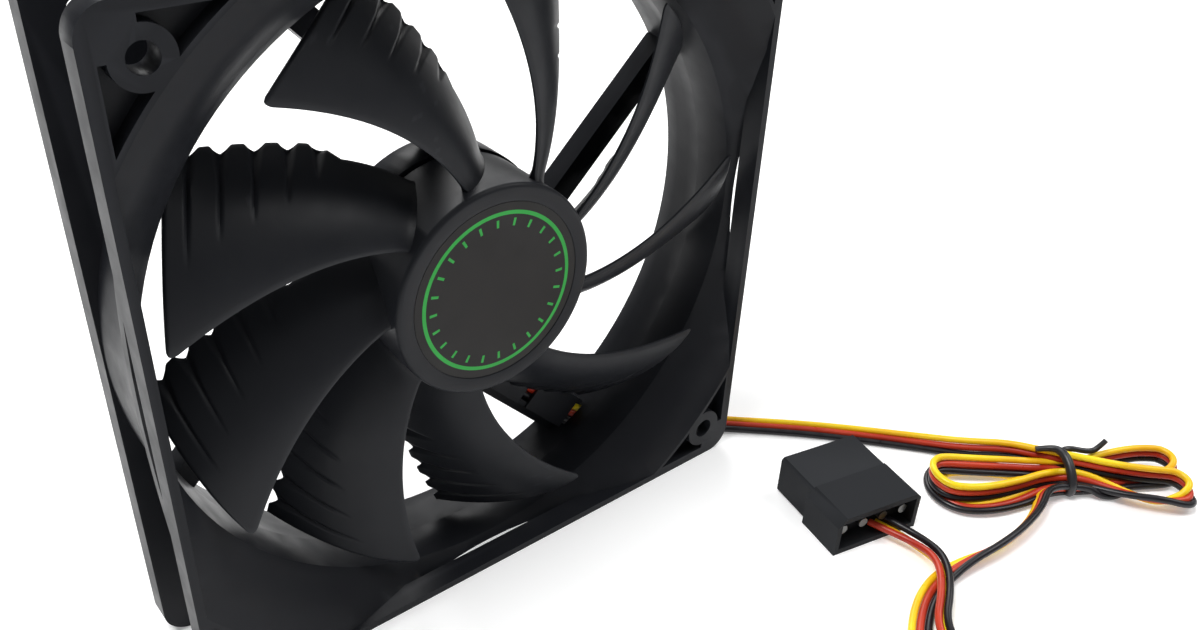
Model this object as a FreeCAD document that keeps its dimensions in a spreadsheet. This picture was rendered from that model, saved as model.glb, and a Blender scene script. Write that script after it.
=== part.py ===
"""A 120 mm case fan: open-flange frame, nine-blade impeller, sleeve-bearing motor and power lead.

Millimetres. +X is to the right and +Z is up when the intake face is looked at, and air leaves
towards +Y. The origin is on the floor, under the middle of the frame.

Fan parts are modelled lying on the outlet face: their own Z is the height above that face, and
FAN_PLACE stands them up. The lead, its tie and the plug are modelled where they lie.
"""
import FreeCAD
import Part
import Sketcher

import math
import os

from FreeCAD import Placement, Rotation, Vector

os.makedirs("parts", exist_ok=True)
doc = FreeCAD.newDocument("case_fan")

# Driving dimensions, one sheet cell each.
SIZES = {
    # frame
    "frame_width": 120.0,
    "frame_depth": 25.0,
    "corner_radius": 5.0,
    "flange_thickness": 4.5,
    "hole_spacing": 105.0,
    "hole_radius": 2.15,
    "rim_thickness": 1.5,
    "duct_outer_radius": 59.7,
    "throat_radius": 58.0,
    "outlet_radius": 59.0,
    "mouth_radius": 70.0,
    "crease_radius": 58.7,
    "crease_height": 17.6,
    "seam_height": 10.0,
    "pocket_radius": 70.8,
    "pocket_depth": 3.0,
    "boss_radius": 4.3,
    # motor base and struts
    "base_radius": 20.2,
    "base_height": 6.4,
    "base_floor": 3.2,
    "base_inner_radius": 18.4,
    "strut_width": 4.8,
    "strut_offset": 16.2,
    "strut_angle": 44.0,
    "channel_width": 5.4,
    "channel_wall": 1.1,
    "channel_offset": 3.2,
    "channel_depth": 1.8,
    "cover_thickness": 0.6,
    # impeller
    "hub_radius": 19.8,
    "hub_wall": 1.6,
    "hub_front": 22.2,
    "hub_rear": 7.0,
    "hub_top": 1.8,
    "label_radius": 16.6,
    "label_recess": 0.25,
    "label_thickness": 0.12,
    "tip_radius": 56.3,
    # rotor magnet and shaft
    "yoke_radius": 18.0,
    "yoke_wall": 0.8,
    "yoke_rear": 7.8,
    "magnet_inner_radius": 15.2,
    "magnet_front": 18.5,
    "magnet_rear": 8.6,
    "shaft_radius": 1.5,
    "shaft_rear": 4.2,
    "insert_radius": 3.2,
    "insert_rear": 17.0,
    "clip_height": 5.1,
    "clip_thickness": 0.4,
    "clip_groove_radius": 1.15,
    "clip_radius": 2.6,
    # bearing
    "tube_radius": 4.5,
    "bearing_radius": 3.5,
    "bearing_bore": 1.53,
    "tube_front": 16.4,
    "tube_rear": 1.2,
    "bearing_front": 15.8,
    "bearing_rear": 6.0,
    "washer_thickness": 0.3,
    "washer_bore": 1.65,
    "thrust_pad_thickness": 0.8,
    # stator
    "core_radius": 14.8,
    "core_height": 5.4,
    "core_rear": 11.0,
    "sheet_thickness": 0.98,
    "tooth_width": 4.0,
    "shoe_thickness": 1.5,
    "shoe_gap": 3.4,
    "core_ring_radius": 7.0,
    "insulator_thickness": 0.75,
    "bobbin_width": 5.0,
    "coil_inner": 7.8,
    "coil_length": 4.6,
    "coil_width": 8.2,
    "coil_height": 9.6,
    "board_radius": 15.3,
    "board_front": 7.6,
    "board_thickness": 1.2,
    "solder_height": 1.9,
    "pin_radius": 0.35,
    "pin_circle": 6.0,
    # lead and plug
    "wire_diameter": 1.5,
    "wire_pitch": 1.55,
    "hank_length": 60.0,
    "hank_width": 12.8,
    "hank_waist": 9.6,
    "hank_height": 4.8,
    "tie_width": 3.4,
    "tie_thickness": 0.8,
    "plug_width": 21.0,
    "plug_neck_width": 18.8,
    "plug_length": 21.4,
    "plug_height": 9.2,
    "plug_pitch": 5.08,
    "plug_pin_radius": 1.05,
    "plug_wall": 1.1,
    "plug_cavity_depth": 3.8,
    "contact_length": 14.0,
}

sheet = doc.addObject("Spreadsheet::Sheet", "sizes")
for row, (alias, value) in enumerate(SIZES.items(), start=1):
    sheet.set(f"A{row}", alias.replace("_", " "))
    sheet.set(f"B{row}", str(value))
    sheet.setAlias(f"B{row}", alias)
doc.recompute()


def size(alias):
    """The value that a cell of the sheet holds."""
    return float(getattr(sheet, alias))


# A fan part's own Z points to the intake side, and its own Y points up.
FAN_PLACE = Placement(
    Vector(0, size("frame_depth") / 2, size("frame_width") / 2),
    Rotation(Vector(1, 0, 0), 90),
)

pieces = []


def keep(obj, name, place=FAN_PLACE):
    """Hand over a finished sub-part under its own label, standing in its place."""
    obj.Label = name
    obj.Placement = place
    pieces.append(obj)
    return obj


def grouped(name, members, place=FAN_PLACE):
    """Keep one or more solids, each in its own place, as one sub-part."""
    group = doc.addObject("Part::Compound", f"{name}_group")
    group.Links = members
    return keep(group, name, place)


def bind(obj, **formulas):
    """Bind properties of an object to the sheet. A double underscore stands for a dot."""
    for prop, formula in formulas.items():
        obj.setExpression(prop.replace("__", "."), formula)
    return obj


# Primitives, with formulas over the sheet's cells in place of numbers.


def sized(formula):
    """A formula whose words that name cells point at the sheet."""
    words = []
    for word in formula.split():
        words.append(f"sizes.{word}" if word in SIZES else word)
    return " ".join(words)


def cylinder(name, radius, height, z="0", x="0", y="0"):
    obj = doc.addObject("Part::Cylinder", name)
    return bind(
        obj,
        Radius=sized(radius),
        Height=sized(height),
        Placement__Base__x=sized(x),
        Placement__Base__y=sized(y),
        Placement__Base__z=sized(z),
    )


def rod(name, radius, height, start, turn=Rotation()):
    """A cylinder from a start point, along Z turned by a rotation."""
    obj = doc.addObject("Part::Cylinder", name)
    bind(obj, Radius=sized(radius), Height=sized(height))
    obj.Placement = Placement(start, turn)
    return obj


def box(name, length, width, height, x, y, z):
    """A box that starts at x, y, z."""
    obj = doc.addObject("Part::Box", name)
    return bind(
        obj,
        Length=sized(length),
        Width=sized(width),
        Height=sized(height),
        Placement__Base__x=sized(x),
        Placement__Base__y=sized(y),
        Placement__Base__z=sized(z),
    )


def fuse(name, objects):
    result = doc.addObject("Part::MultiFuse", name)
    result.Shapes = objects
    return result


def cut(name, base, tool):
    result = doc.addObject("Part::Cut", name)
    result.Base = base
    result.Tool = tool
    return result


def tube_ring(name, outer, inner, height, z):
    """A plain ring: a cylinder with a bore."""
    outside = cylinder(f"{name}_outside", outer, height, z)
    bore = cylinder(f"{name}_bore", inner, height, z)
    return cut(name, outside, bore)


# PartDesign helpers.


def plane(body, role):
    """One of the body's own origin planes."""
    return next(f for f in body.Origin.OriginFeatures if f.Role == role)


def sketch_of(body, name, role, corners):
    """A closed outline on an origin plane, each corner bound to the sheet."""
    sketch = body.newObject("Sketcher::SketchObject", name)
    sketch.AttachmentSupport = [(plane(body, role), "")]
    sketch.MapMode = "FlatFace"
    values = [Vector(evaluated(x), evaluated(y), 0) for x, y in corners]
    count = len(values)
    for index in range(count):
        sketch.addGeometry(Part.LineSegment(values[index], values[(index + 1) % count]))
    for index in range(count):
        sketch.addConstraint(
            Sketcher.Constraint("Coincident", index, 2, (index + 1) % count, 1)
        )
    for index, (x, y) in enumerate(corners):
        for kind, axis, formula, value in (
            ("DistanceX", "x", x, values[index].x),
            ("DistanceY", "y", y, values[index].y),
        ):
            number = sketch.addConstraint(Sketcher.Constraint(kind, -1, 1, index, 1, value))
            sketch.renameConstraint(number, f"{axis}{index}")
            sketch.setExpression(f"Constraints.{axis}{index}", sized(formula))
    return sketch


def evaluated(formula):
    """The number that a formula over the sheet's cells gives."""
    words = [str(size(word)) if word in SIZES else word for word in formula.split()]
    return float(FreeCAD.Units.Quantity(" ".join(words)).Value)


def turned_body(name, corners):
    """A body turned about the fan's axis from an outline of radii and heights."""
    body = doc.addObject("PartDesign::Body", name)
    outline = sketch_of(body, f"{name}_outline", "XZ_Plane", corners)
    doc.recompute()
    turn = body.newObject("PartDesign::Revolution", f"{name}_turn")
    turn.Profile = outline
    turn.ReferenceAxis = (outline, ["V_Axis"])
    turn.Angle = 360
    return body


def grooved(body, name, corners):
    """Cut a turned groove into a body, and check that it took something away."""
    outline = sketch_of(body, f"{name}_outline", "XZ_Plane", corners)
    doc.recompute()
    before = body.Shape.Volume
    groove = body.newObject("PartDesign::Groove", name)
    groove.Profile = outline
    groove.ReferenceAxis = (outline, ["V_Axis"])
    groove.Angle = 360
    doc.recompute()
    if not body.Shape.Volume < before - 0.01:
        raise RuntimeError(f"{name} cut nothing")
    return groove


# The frame.


def rounded_square(body, name, half, radius, height, z):
    """Pad a square plate with rounded corners."""
    sketch = sketch_of(
        body,
        f"{name}_outline",
        "XY_Plane",
        [
            (f"0 - ( {half} )", f"0 - ( {half} )"),
            (half, f"0 - ( {half} )"),
            (half, half),
            (f"0 - ( {half} )", half),
        ],
    )
    sketch.setExpression("AttachmentOffset.Base.z", sized(z))
    doc.recompute()
    pad = body.newObject("PartDesign::Pad", f"{name}_pad")
    pad.Profile = sketch
    pad.setExpression("Length", sized(height))
    doc.recompute()
    edges = [
        f"Edge{number}"
        for number, edge in enumerate(pad.Shape.Edges, start=1)
        if abs(edge.tangentAt(edge.FirstParameter).z) > 0.99
        and abs(edge.Length - evaluated(height)) < 1e-6
    ]
    fillet = body.newObject("PartDesign::Fillet", f"{name}_corners")
    fillet.Base = (pad, edges)
    fillet.setExpression("Radius", sized(radius))
    doc.recompute()
    return body


def frame_shell():
    """Two square flanges joined by the duct, before the bell mouth's rim is put back."""
    body = doc.addObject("PartDesign::Body", "frame_shell")
    rounded_square(body, "block", "frame_width / 2", "corner_radius", "frame_depth", "0")
    # Outside of the duct between the flanges: straight, then flaring under the bell mouth.
    grooved(
        body,
        "waist",
        [
            ("duct_outer_radius", "flange_thickness"),
            ("90", "flange_thickness"),
            ("90", "frame_depth - flange_thickness"),
            ("duct_outer_radius + 4.6", "frame_depth - flange_thickness"),
            ("duct_outer_radius", "crease_height - 1.2"),
        ],
    )
    # Inside of the duct: outlet, parting seam, throat, crease and bell mouth.
    grooved(
        body,
        "air_way",
        [
            ("0", "0"),
            ("outlet_radius", "0"),
            ("throat_radius + 0.3", "seam_height"),
            ("throat_radius", "seam_height"),
            ("crease_radius", "crease_height"),
            ("crease_radius + 1.4", "crease_height + 1.1"),
            ("crease_radius + 4.8", "crease_height + 4.2"),
            ("crease_radius + 7.8", "crease_height + 6.3"),
            ("mouth_radius", "frame_depth"),
            ("0", "frame_depth"),
        ],
    )
    return body


def rim():
    """The thin rim that keeps the intake flange's edge straight across the bell mouth."""
    outer = doc.addObject("PartDesign::Body", "rim_outer")
    rounded_square(
        outer,
        "rim_outside",
        "frame_width / 2",
        "corner_radius",
        "flange_thickness",
        "frame_depth - flange_thickness",
    )
    inner = doc.addObject("PartDesign::Body", "rim_inner")
    rounded_square(
        inner,
        "rim_inside",
        "frame_width / 2 - rim_thickness",
        "corner_radius - rim_thickness",
        "flange_thickness",
        "frame_depth - flange_thickness",
    )
    return cut("rim", outer, inner)


def corner_pockets():
    """Two shallow triangular recesses beside each corner hole, as one cutting tool."""
    tools = []
    for number, (sign_x, sign_y) in enumerate(((1, 1), (-1, 1), (-1, -1), (1, -1))):
        reach = "frame_width / 2 - rim_thickness - 0.6"
        depth = "pocket_depth"
        floor = "frame_depth - pocket_depth"
        start_x = "30" if sign_x > 0 else f"0 - ( {reach} )"
        start_y = "30" if sign_y > 0 else f"0 - ( {reach} )"
        name = f"pocket_{number}"
        region = box(name, f"{reach} - 30", f"{reach} - 30", depth, start_x, start_y, floor)
        hole_x = f"{sign_x} * hole_spacing / 2"
        hole_y = f"{sign_y} * hole_spacing / 2"
        boss = cylinder(f"{name}_boss", "boss_radius", depth, floor, hole_x, hole_y)
        corner = box(
            f"{name}_corner",
            "10",
            "10",
            depth,
            hole_x if sign_x > 0 else f"{hole_x} - 10",
            hole_y if sign_y > 0 else f"{hole_y} - 10",
            floor,
        )
        tools.append(cut(f"{name}_tool", region, fuse(f"{name}_kept", [boss, corner])))
    ring = cylinder("pocket_ring", "pocket_radius", "pocket_depth", "frame_depth - pocket_depth")
    return cut("pocket_tools", fuse("pocket_regions", tools), ring)


def strut_frame(number):
    """Foot of a strut's centre line, nearest the axis, and the direction it runs outwards."""
    angle = math.radians(size("strut_angle") + 90 * number)
    along = Vector(math.cos(angle), math.sin(angle), 0)
    across = Vector(-math.sin(angle), math.cos(angle), 0)
    return across * -size("strut_offset"), along, across


# Along a strut, in mm from the foot of its centre line: where it starts and ends, and the two
# stretches where the lead crosses the base's wall and the duct. One strut carries the lead,
# under two covers that bridge its channel.
STRUT_REACH = (9.0, 57.2)
BASE_CROSSING = (4.0, 18.0)
DUCT_CROSSING = (56.0, 64.0)
COVER_REACHES = ((23.0, 39.5), (42.5, 55.5))
LEAD_STRUT = 3


def along_strut(number, name, reach, width, height, across_start, z="0"):
    """A box laid along a strut, between two distances from the foot of its centre line."""
    foot, along, across = strut_frame(number)
    bar = doc.addObject("Part::Box", name)
    bind(bar, Width=sized(width), Height=sized(height))
    first, last = reach
    bar.Length = last - first
    start = foot + along * first + across * evaluated(across_start) + Vector(0, 0, evaluated(z))
    turn = Rotation(Vector(0, 0, 1), size("strut_angle") + 90 * number)
    bar.Placement = Placement(start, turn)
    return bar


def strut(number):
    """One straight bar from the motor base to the duct, set off the fan's centre."""
    return along_strut(
        number,
        f"strut_{number}",
        STRUT_REACH,
        "strut_width",
        "flange_thickness",
        "0 - strut_width / 2",
    )


def lead_channel():
    """The floor, two low walls and two covers that hold the lead on one strut."""
    near_side = "channel_offset - channel_width / 2 - channel_wall"
    far_side = "channel_offset + channel_width / 2"
    wall_height = "flange_thickness + channel_depth"
    solids = [
        along_strut(
            LEAD_STRUT,
            "channel_floor",
            STRUT_REACH,
            "channel_width + 2 * channel_wall",
            "flange_thickness",
            near_side,
        )
    ]
    for number, side in enumerate((near_side, far_side)):
        name = f"channel_wall_{number}"
        solids.append(
            along_strut(LEAD_STRUT, name, STRUT_REACH, "channel_wall", wall_height, side)
        )
    for number, reach in enumerate(COVER_REACHES):
        solids.append(
            along_strut(
                LEAD_STRUT,
                f"channel_cover_{number}",
                reach,
                "channel_width + 2 * channel_wall",
                "cover_thickness",
                near_side,
                "flange_thickness + channel_depth - 0.2",
            )
        )
    return solids


def lead_way():
    """The way cut for the lead through the base's wall and out through the duct."""
    side = "channel_offset - channel_width / 2"
    height = "channel_depth + 0.4"
    floor = "flange_thickness"
    return [
        along_strut(LEAD_STRUT, name, reach, "channel_width", height, side, floor)
        for name, reach in (("base_notch", BASE_CROSSING), ("duct_notch", DUCT_CROSSING))
    ]


def fan_frame():
    """The moulded frame: flanges, duct, struts and motor base."""
    base = cylinder("base_disc", "base_radius", "base_height")
    recess = cylinder(
        "base_recess", "base_inner_radius", "base_height - base_floor", "base_floor"
    )
    solids = [frame_shell(), rim(), cut("motor_base", base, recess)]
    solids += [strut(number) for number in range(4)]
    solids += lead_channel()
    solid = fuse("frame_solids", solids)
    holes = [
        cylinder(
            f"mount_hole_{number}",
            "hole_radius",
            "frame_depth",
            "0",
            f"{sign_x} * hole_spacing / 2",
            f"{sign_y} * hole_spacing / 2",
        )
        for number, (sign_x, sign_y) in enumerate(((1, 1), (-1, 1), (-1, -1), (1, -1)))
    ]
    tube_seat = cylinder("tube_seat", "tube_radius", "base_floor", "tube_rear")
    plug_seat = cylinder("plug_seat", "bearing_radius", "tube_rear", "0")
    label_seat = cylinder("label_seat", "base_radius - 1.2", "label_recess", "0")
    within_base = cylinder("inside_of_base", "base_inner_radius", "base_height", "base_floor")
    tools = holes + [corner_pockets(), tube_seat, plug_seat, label_seat, within_base]
    tools += lead_way()
    return keep(cut("frame", solid, fuse("frame_tools", tools)), "fan_frame")


# The impeller: a cup-shaped hub with nine swept blades, in one moulding.

BLADES = 9
BLADE_PITCH = 360.0 / BLADES
ROOT_RADIUS = 19.0
# The V-shaped notches in a blade's trailing edge: where they are, and how wide and deep.
NOTCH_RADII = (36.5, 40.7, 45.2, 49.6, 53.6)
NOTCH_WIDTH = 2.3
NOTCH_DEPTHS = (1.5, 1.8, 2.1, 2.4, 2.7)


def along_span(radius):
    """0 at the hub and 1 at the tip."""
    return (radius - size("hub_radius")) / (size("tip_radius") - size("hub_radius"))


def blade_point(chord, radius):
    """A point on a blade's intake side: chord is 0 at the leading and 1 at the trailing edge."""
    span = along_span(radius)
    leading_angle = 103.0 + 33.5 * span - 4.5 * span * span
    trailing_angle = 75.0 + 46.0 * span - 14.0 * span * span
    leading_height = 19.9 + 1.8 * span
    trailing_height = 9.6 - 1.7 * span
    angle = math.radians(leading_angle + (trailing_angle - leading_angle) * chord)
    camber = 0.25 * chord + 0.75 * chord * chord
    height = leading_height + (trailing_height - leading_height) * camber
    return Vector(radius * math.cos(angle), radius * math.sin(angle), height)


def blade_normal(chord, radius):
    """The direction from a blade's intake side into the blade."""
    step = 0.01
    chordwise = blade_point(chord + step, radius) - blade_point(chord - step, radius)
    spanwise = blade_point(chord, radius + step) - blade_point(chord, radius - step)
    normal = chordwise.cross(spanwise).normalize()
    return normal if normal.z < 0 else normal * -1


def blade_thickness(chord, radius):
    """Thickest in the middle of the root, thinnest along the edges and at the tip."""
    middle = 1.9 - 0.6 * along_span(radius)
    return middle * (0.5 + 2.0 * chord * (1.0 - chord))


def blade_solid():
    """One blade between its two skins, which meet along thin edges."""
    chords = [step / 6 for step in range(7)]
    radii = [ROOT_RADIUS + (size("tip_radius") - ROOT_RADIUS) * step / 6 for step in range(7)]
    intake = []
    outlet = []
    for radius in radii:
        front = [blade_point(chord, radius) for chord in chords]
        back = [
            point + blade_normal(chord, radius) * blade_thickness(chord, radius)
            for point, chord in zip(front, chords)
        ]
        intake.append(front)
        outlet.append(back)
    skins = []
    for grid in (intake, outlet):
        surface = Part.BSplineSurface()
        surface.interpolate(grid)
        skins.append(surface)
    first, last = skins
    faces = [first.toShape(), last.toShape()]
    low_u, high_u, low_v, high_v = first.bounds()
    for pick in (
        lambda skin: skin.uIso(low_u),
        lambda skin: skin.uIso(high_u),
        lambda skin: skin.vIso(low_v),
        lambda skin: skin.vIso(high_v),
    ):
        faces.append(Part.makeRuledSurface(pick(first).toShape(), pick(last).toShape()))
    shell = Part.Compound(faces)
    shell.sewShape()
    solid = Part.Solid(shell.Shells[0])
    if solid.Volume < 0:
        solid.reverse()
    return solid


def notch(radius, depth):
    """A V-shaped cutter at a blade's trailing edge, as wide as the notch where it meets it."""
    edge = blade_point(1.0, radius)
    inwards = (blade_point(0.85, radius) - edge).normalize()
    up = blade_normal(0.95, radius) * -1
    across = inwards.cross(up).normalize()
    clear = 1.0
    half = NOTCH_WIDTH / 2 * (1 + clear / depth)
    above = up * 3.0
    corners = [
        edge - inwards * clear - across * half + above,
        edge - inwards * clear + across * half + above,
        edge + inwards * depth + above,
    ]
    outline = Part.Face(Part.makePolygon(corners + corners[:1]))
    return outline.extrude(up * -8.0)


def impeller():
    """Hub and blades, fused."""
    hub = turned_body(
        "hub_shell",
        [
            ("0", "hub_front - hub_top"),
            ("hub_radius - hub_wall", "hub_front - hub_top"),
            ("hub_radius - hub_wall", "hub_rear"),
            ("hub_radius", "hub_rear"),
            ("hub_radius", "hub_front - 0.8"),
            ("hub_radius - 0.8", "hub_front"),
            ("label_radius + 0.1", "hub_front"),
            ("label_radius + 0.1", "hub_front - label_recess"),
            ("0", "hub_front - label_recess"),
        ],
    )
    doc.recompute()
    blade = blade_solid()
    for radius, depth in zip(NOTCH_RADII, NOTCH_DEPTHS):
        blade = blade.cut(notch(radius, depth))
    blade = max(blade.Solids, key=lambda solid: solid.Volume)
    shape = hub.Shape
    for number in range(BLADES):
        turned_blade = blade.copy()
        turned_blade.rotate(Vector(0, 0, 0), Vector(0, 0, 1), BLADE_PITCH * number)
        shape = shape.fuse(turned_blade)
    moulding = doc.addObject("Part::Feature", "impeller_moulding")
    moulding.Shape = shape.removeSplitter()
    return keep(moulding, "impeller")


# What turns with the impeller.


def rotor_parts():
    keep(
        turned_body(
            "yoke",
            [
                ("insert_radius", "hub_front - hub_top"),
                ("yoke_radius", "hub_front - hub_top"),
                ("yoke_radius", "yoke_rear"),
                ("yoke_radius - yoke_wall", "yoke_rear"),
                ("yoke_radius - yoke_wall", "hub_front - hub_top - yoke_wall"),
                ("insert_radius", "hub_front - hub_top - yoke_wall"),
            ],
        ),
        "rotor_yoke",
    )
    keep(
        tube_ring(
            "magnet",
            "yoke_radius - yoke_wall",
            "magnet_inner_radius",
            "magnet_front - magnet_rear",
            "magnet_rear",
        ),
        "ring_magnet",
    )
    keep(
        tube_ring(
            "insert",
            "insert_radius",
            "shaft_radius",
            "hub_front - hub_top - insert_rear",
            "insert_rear",
        ),
        "shaft_insert",
    )
    shaft = turned_body(
        "shaft_bar",
        [
            ("0", "shaft_rear"),
            ("shaft_radius - 0.3", "shaft_rear"),
            ("shaft_radius", "shaft_rear + 0.3"),
            ("shaft_radius", "hub_front - hub_top"),
            ("0", "hub_front - hub_top"),
        ],
    )
    doc.recompute()
    grooved(
        shaft,
        "clip_groove",
        [
            ("clip_groove_radius", "clip_height"),
            ("shaft_radius + 1", "clip_height"),
            ("shaft_radius + 1", "clip_height + clip_thickness"),
            ("clip_groove_radius", "clip_height + clip_thickness"),
        ],
    )
    keep(shaft, "shaft")
    ring = tube_ring(
        "clip_ring", "clip_radius", "clip_groove_radius", "clip_thickness", "clip_height"
    )
    gap = box("clip_gap", "clip_radius + 1", "1.6", "clip_thickness", "0", "0 - 0.8", "clip_height")
    keep(cut("clip", ring, gap), "retaining_clip")
    sticker = cylinder(
        "hub_sticker", "label_radius", "label_thickness", "hub_front - label_recess"
    )
    grouped("hub_label", [sticker])


# The bearing, in the middle of the motor base.


def bearing_parts():
    keep(
        tube_ring(
            "tube", "tube_radius", "bearing_radius", "tube_front - tube_rear", "tube_rear"
        ),
        "bearing_tube",
    )
    keep(
        tube_ring(
            "sleeve",
            "bearing_radius",
            "bearing_bore",
            "bearing_front - bearing_rear",
            "bearing_rear",
        ),
        "sleeve_bearing",
    )
    front = tube_ring(
        "front_washer", "bearing_radius", "washer_bore", "washer_thickness", "bearing_front"
    )
    rear = tube_ring(
        "rear_washer",
        "bearing_radius",
        "washer_bore",
        "washer_thickness",
        "bearing_rear - washer_thickness",
    )
    keep(fuse("washers", [front, rear]), "oil_washers")
    pad_rear = "shaft_rear - thrust_pad_thickness - 0.02"
    pad = cylinder("pad", "bearing_radius", "thrust_pad_thickness", pad_rear)
    grouped("thrust_pad", [pad])
    stopper = cylinder("stopper", "bearing_radius", f"{pad_rear} - label_recess", "label_recess")
    grouped("oil_stopper", [stopper])
    sticker_height = "label_recess - label_thickness"
    sticker = cylinder("base_sticker", "base_radius - 1.3", "label_thickness", sticker_height)
    grouped("rear_label", [sticker])


# The stator: laminated core, two insulators, four coils and the pins that they end on.


def core_sheet(name, z):
    """One sheet of the core: a ring, four teeth and their curved shoes."""
    thickness = "sheet_thickness"
    ring = cylinder(f"{name}_ring", "core_ring_radius", thickness, z)
    bars = []
    for axis in range(2):
        size_x = "2 * core_radius - 1" if axis == 0 else "tooth_width"
        size_y = "tooth_width" if axis == 0 else "2 * core_radius - 1"
        bars.append(
            box(
                f"{name}_bar_{axis}",
                size_x,
                size_y,
                thickness,
                f"0 - ( {size_x} ) / 2",
                f"0 - ( {size_y} ) / 2",
                z,
            )
        )
    shoes = tube_ring(
        f"{name}_shoes", "core_radius", "core_radius - shoe_thickness", thickness, z
    )
    slots = []
    for number in range(2):
        slot = doc.addObject("Part::Box", f"{name}_slot_{number}")
        bind(
            slot,
            Length=sized("3 * core_radius"),
            Width=sized("shoe_gap"),
            Height=sized(thickness),
        )
        turn = Rotation(Vector(0, 0, 1), 45 + 90 * number)
        corner = Vector(-1.5 * size("core_radius"), -size("shoe_gap") / 2, 0)
        slot.Placement = Placement(turn.multVec(corner) + Vector(0, 0, evaluated(z)), turn)
        slots.append(slot)
    parted_shoes = cut(f"{name}_parted", shoes, fuse(f"{name}_slots", slots))
    plan = fuse(f"{name}_plan", [ring, parted_shoes] + bars)
    return cut(name, plan, cylinder(f"{name}_bore", "tube_radius", thickness, z))


def insulator(name, z):
    """A plastic cover for one side of the core, on which the coils are wound."""
    thickness = "insulator_thickness"
    ring = cylinder(f"{name}_ring", "core_ring_radius + 0.6", thickness, z)
    reach = "2 * ( coil_inner + coil_length )"
    bars = []
    for axis in range(2):
        size_x = reach if axis == 0 else "bobbin_width"
        size_y = "bobbin_width" if axis == 0 else reach
        bars.append(
            box(
                f"{name}_bar_{axis}",
                size_x,
                size_y,
                thickness,
                f"0 - ( {size_x} ) / 2",
                f"0 - ( {size_y} ) / 2",
                z,
            )
        )
    plan = fuse(f"{name}_plan", [ring] + bars)
    return cut(name, plan, cylinder(f"{name}_bore", "tube_radius", thickness, z))


def coil(number):
    """One winding, wrapped round a tooth and both insulators."""
    middle = size("core_rear") + size("core_height") / 2
    length = size("coil_length")
    solids = []
    hole_height = size("core_height") + 2 * size("insulator_thickness") + 0.04
    for width, height in (
        (size("coil_width"), size("coil_height")),
        (size("bobbin_width") + 0.04, hole_height),
    ):
        block = Part.makeBox(
            length, width, height, Vector(size("coil_inner"), -width / 2, middle - height / 2)
        )
        solids.append(block)
    outside = solids[0]
    long_edges = [edge for edge in outside.Edges if abs(edge.Length - length) < 1e-6]
    outside = outside.makeFillet(1.6, long_edges)
    winding = outside.cut(solids[1])
    winding.rotate(Vector(0, 0, 0), Vector(0, 0, 1), 90 * number)
    return winding


CORE_SHEETS = 5


def stator_parts():
    step = f"( core_height - sheet_thickness ) / {CORE_SHEETS - 1}"
    sheets = [
        core_sheet(f"core_sheet_{number}", f"core_rear + {number} * {step}")
        for number in range(CORE_SHEETS)
    ]
    grouped("stator_laminations", sheets)
    keep(insulator("front_cover", "core_rear + core_height"), "stator_insulator_front")
    keep(insulator("rear_cover", "core_rear - insulator_thickness"), "stator_insulator_rear")
    windings = doc.addObject("Part::Feature", "windings")
    windings.Shape = Part.Compound([coil(number) for number in range(4)])
    keep(windings, "coil_windings")
    pins = []
    for number in range(4):
        angle = math.radians(45 + 90 * number)
        pins.append(
            cylinder(
                f"pin_{number}",
                "pin_radius",
                "core_rear - insulator_thickness - board_front + board_thickness + 0.6",
                "board_front - board_thickness - 0.6",
                f"{math.cos(angle):.6f} * pin_circle",
                f"{math.sin(angle):.6f} * pin_circle",
            )
        )
    grouped("winding_pins", pins)


# The control board under the stator. Its parts hang from its outlet side.

# Each is length, width, height, middle x, middle y and turn in degrees.
BOARD_PARTS = {
    "driver_chip": (5.0, 4.0, 1.5, 8.4, 6.0, 35.0),
    "capacitor": (3.2, 2.5, 1.9, -9.0, 6.4, 50.0),
}
# Middle x, middle y and turn of each chip resistor.
RESISTORS = ((2.0, 11.2, 90.0), (-2.4, 10.4, 0.0), (11.6, -1.6, 90.0))


def board_part(name, length, width, height, x, y, turn):
    """A small block soldered to the board's outlet side."""
    block = doc.addObject("Part::Box", name)
    block.Length = length
    block.Width = width
    block.Height = height
    rotation = Rotation(Vector(0, 0, 1), turn)
    under = size("board_front") - size("board_thickness") - height
    start = rotation.multVec(Vector(-length / 2, -width / 2, 0)) + Vector(x, y, under)
    block.Placement = Placement(start, rotation)
    return block


def board_parts():
    disc = cylinder(
        "board_disc", "board_radius", "board_thickness", "board_front - board_thickness"
    )
    holes = [
        cylinder(
            "board_bore", "tube_radius + 0.3", "board_thickness", "board_front - board_thickness"
        )
    ]
    for number in range(4):
        angle = math.radians(45 + 90 * number)
        holes.append(
            cylinder(
                f"board_hole_{number}",
                "pin_radius",
                "board_thickness",
                "board_front - board_thickness",
                f"{math.cos(angle):.6f} * pin_circle",
                f"{math.sin(angle):.6f} * pin_circle",
            )
        )
    keep(cut("board", disc, fuse("board_holes", holes)), "circuit_board")
    for name, values in BOARD_PARTS.items():
        grouped(name, [board_part(f"{name}_block", *values)])
    grouped(
        "resistors",
        [
            board_part(f"resistor_{number}", 2.0, 1.25, 0.6, x, y, turn)
            for number, (x, y, turn) in enumerate(RESISTORS)
        ],
    )
    sensor = doc.addObject("Part::Box", "sensor_block")
    sensor.Length = 1.5
    sensor.Width = 3.2
    sensor.Height = 2.6
    rotation = Rotation(Vector(0, 0, 1), 45)
    start = rotation.multVec(Vector(12.6, -1.6, 0)) + Vector(0, 0, size("board_front"))
    sensor.Placement = Placement(start, rotation)
    grouped("hall_sensor", [sensor])
    joints = []
    top = size("board_front") - size("board_thickness")
    for number, side in enumerate(WIRES.values()):
        start = channel_point(LEAD_START, side)
        start.z = top - size("solder_height")
        joints.append(
            rod(f"solder_{number}", "wire_diameter / 2 - 0.04", "solder_height", start)
        )
    grouped("solder_joints", joints)


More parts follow.
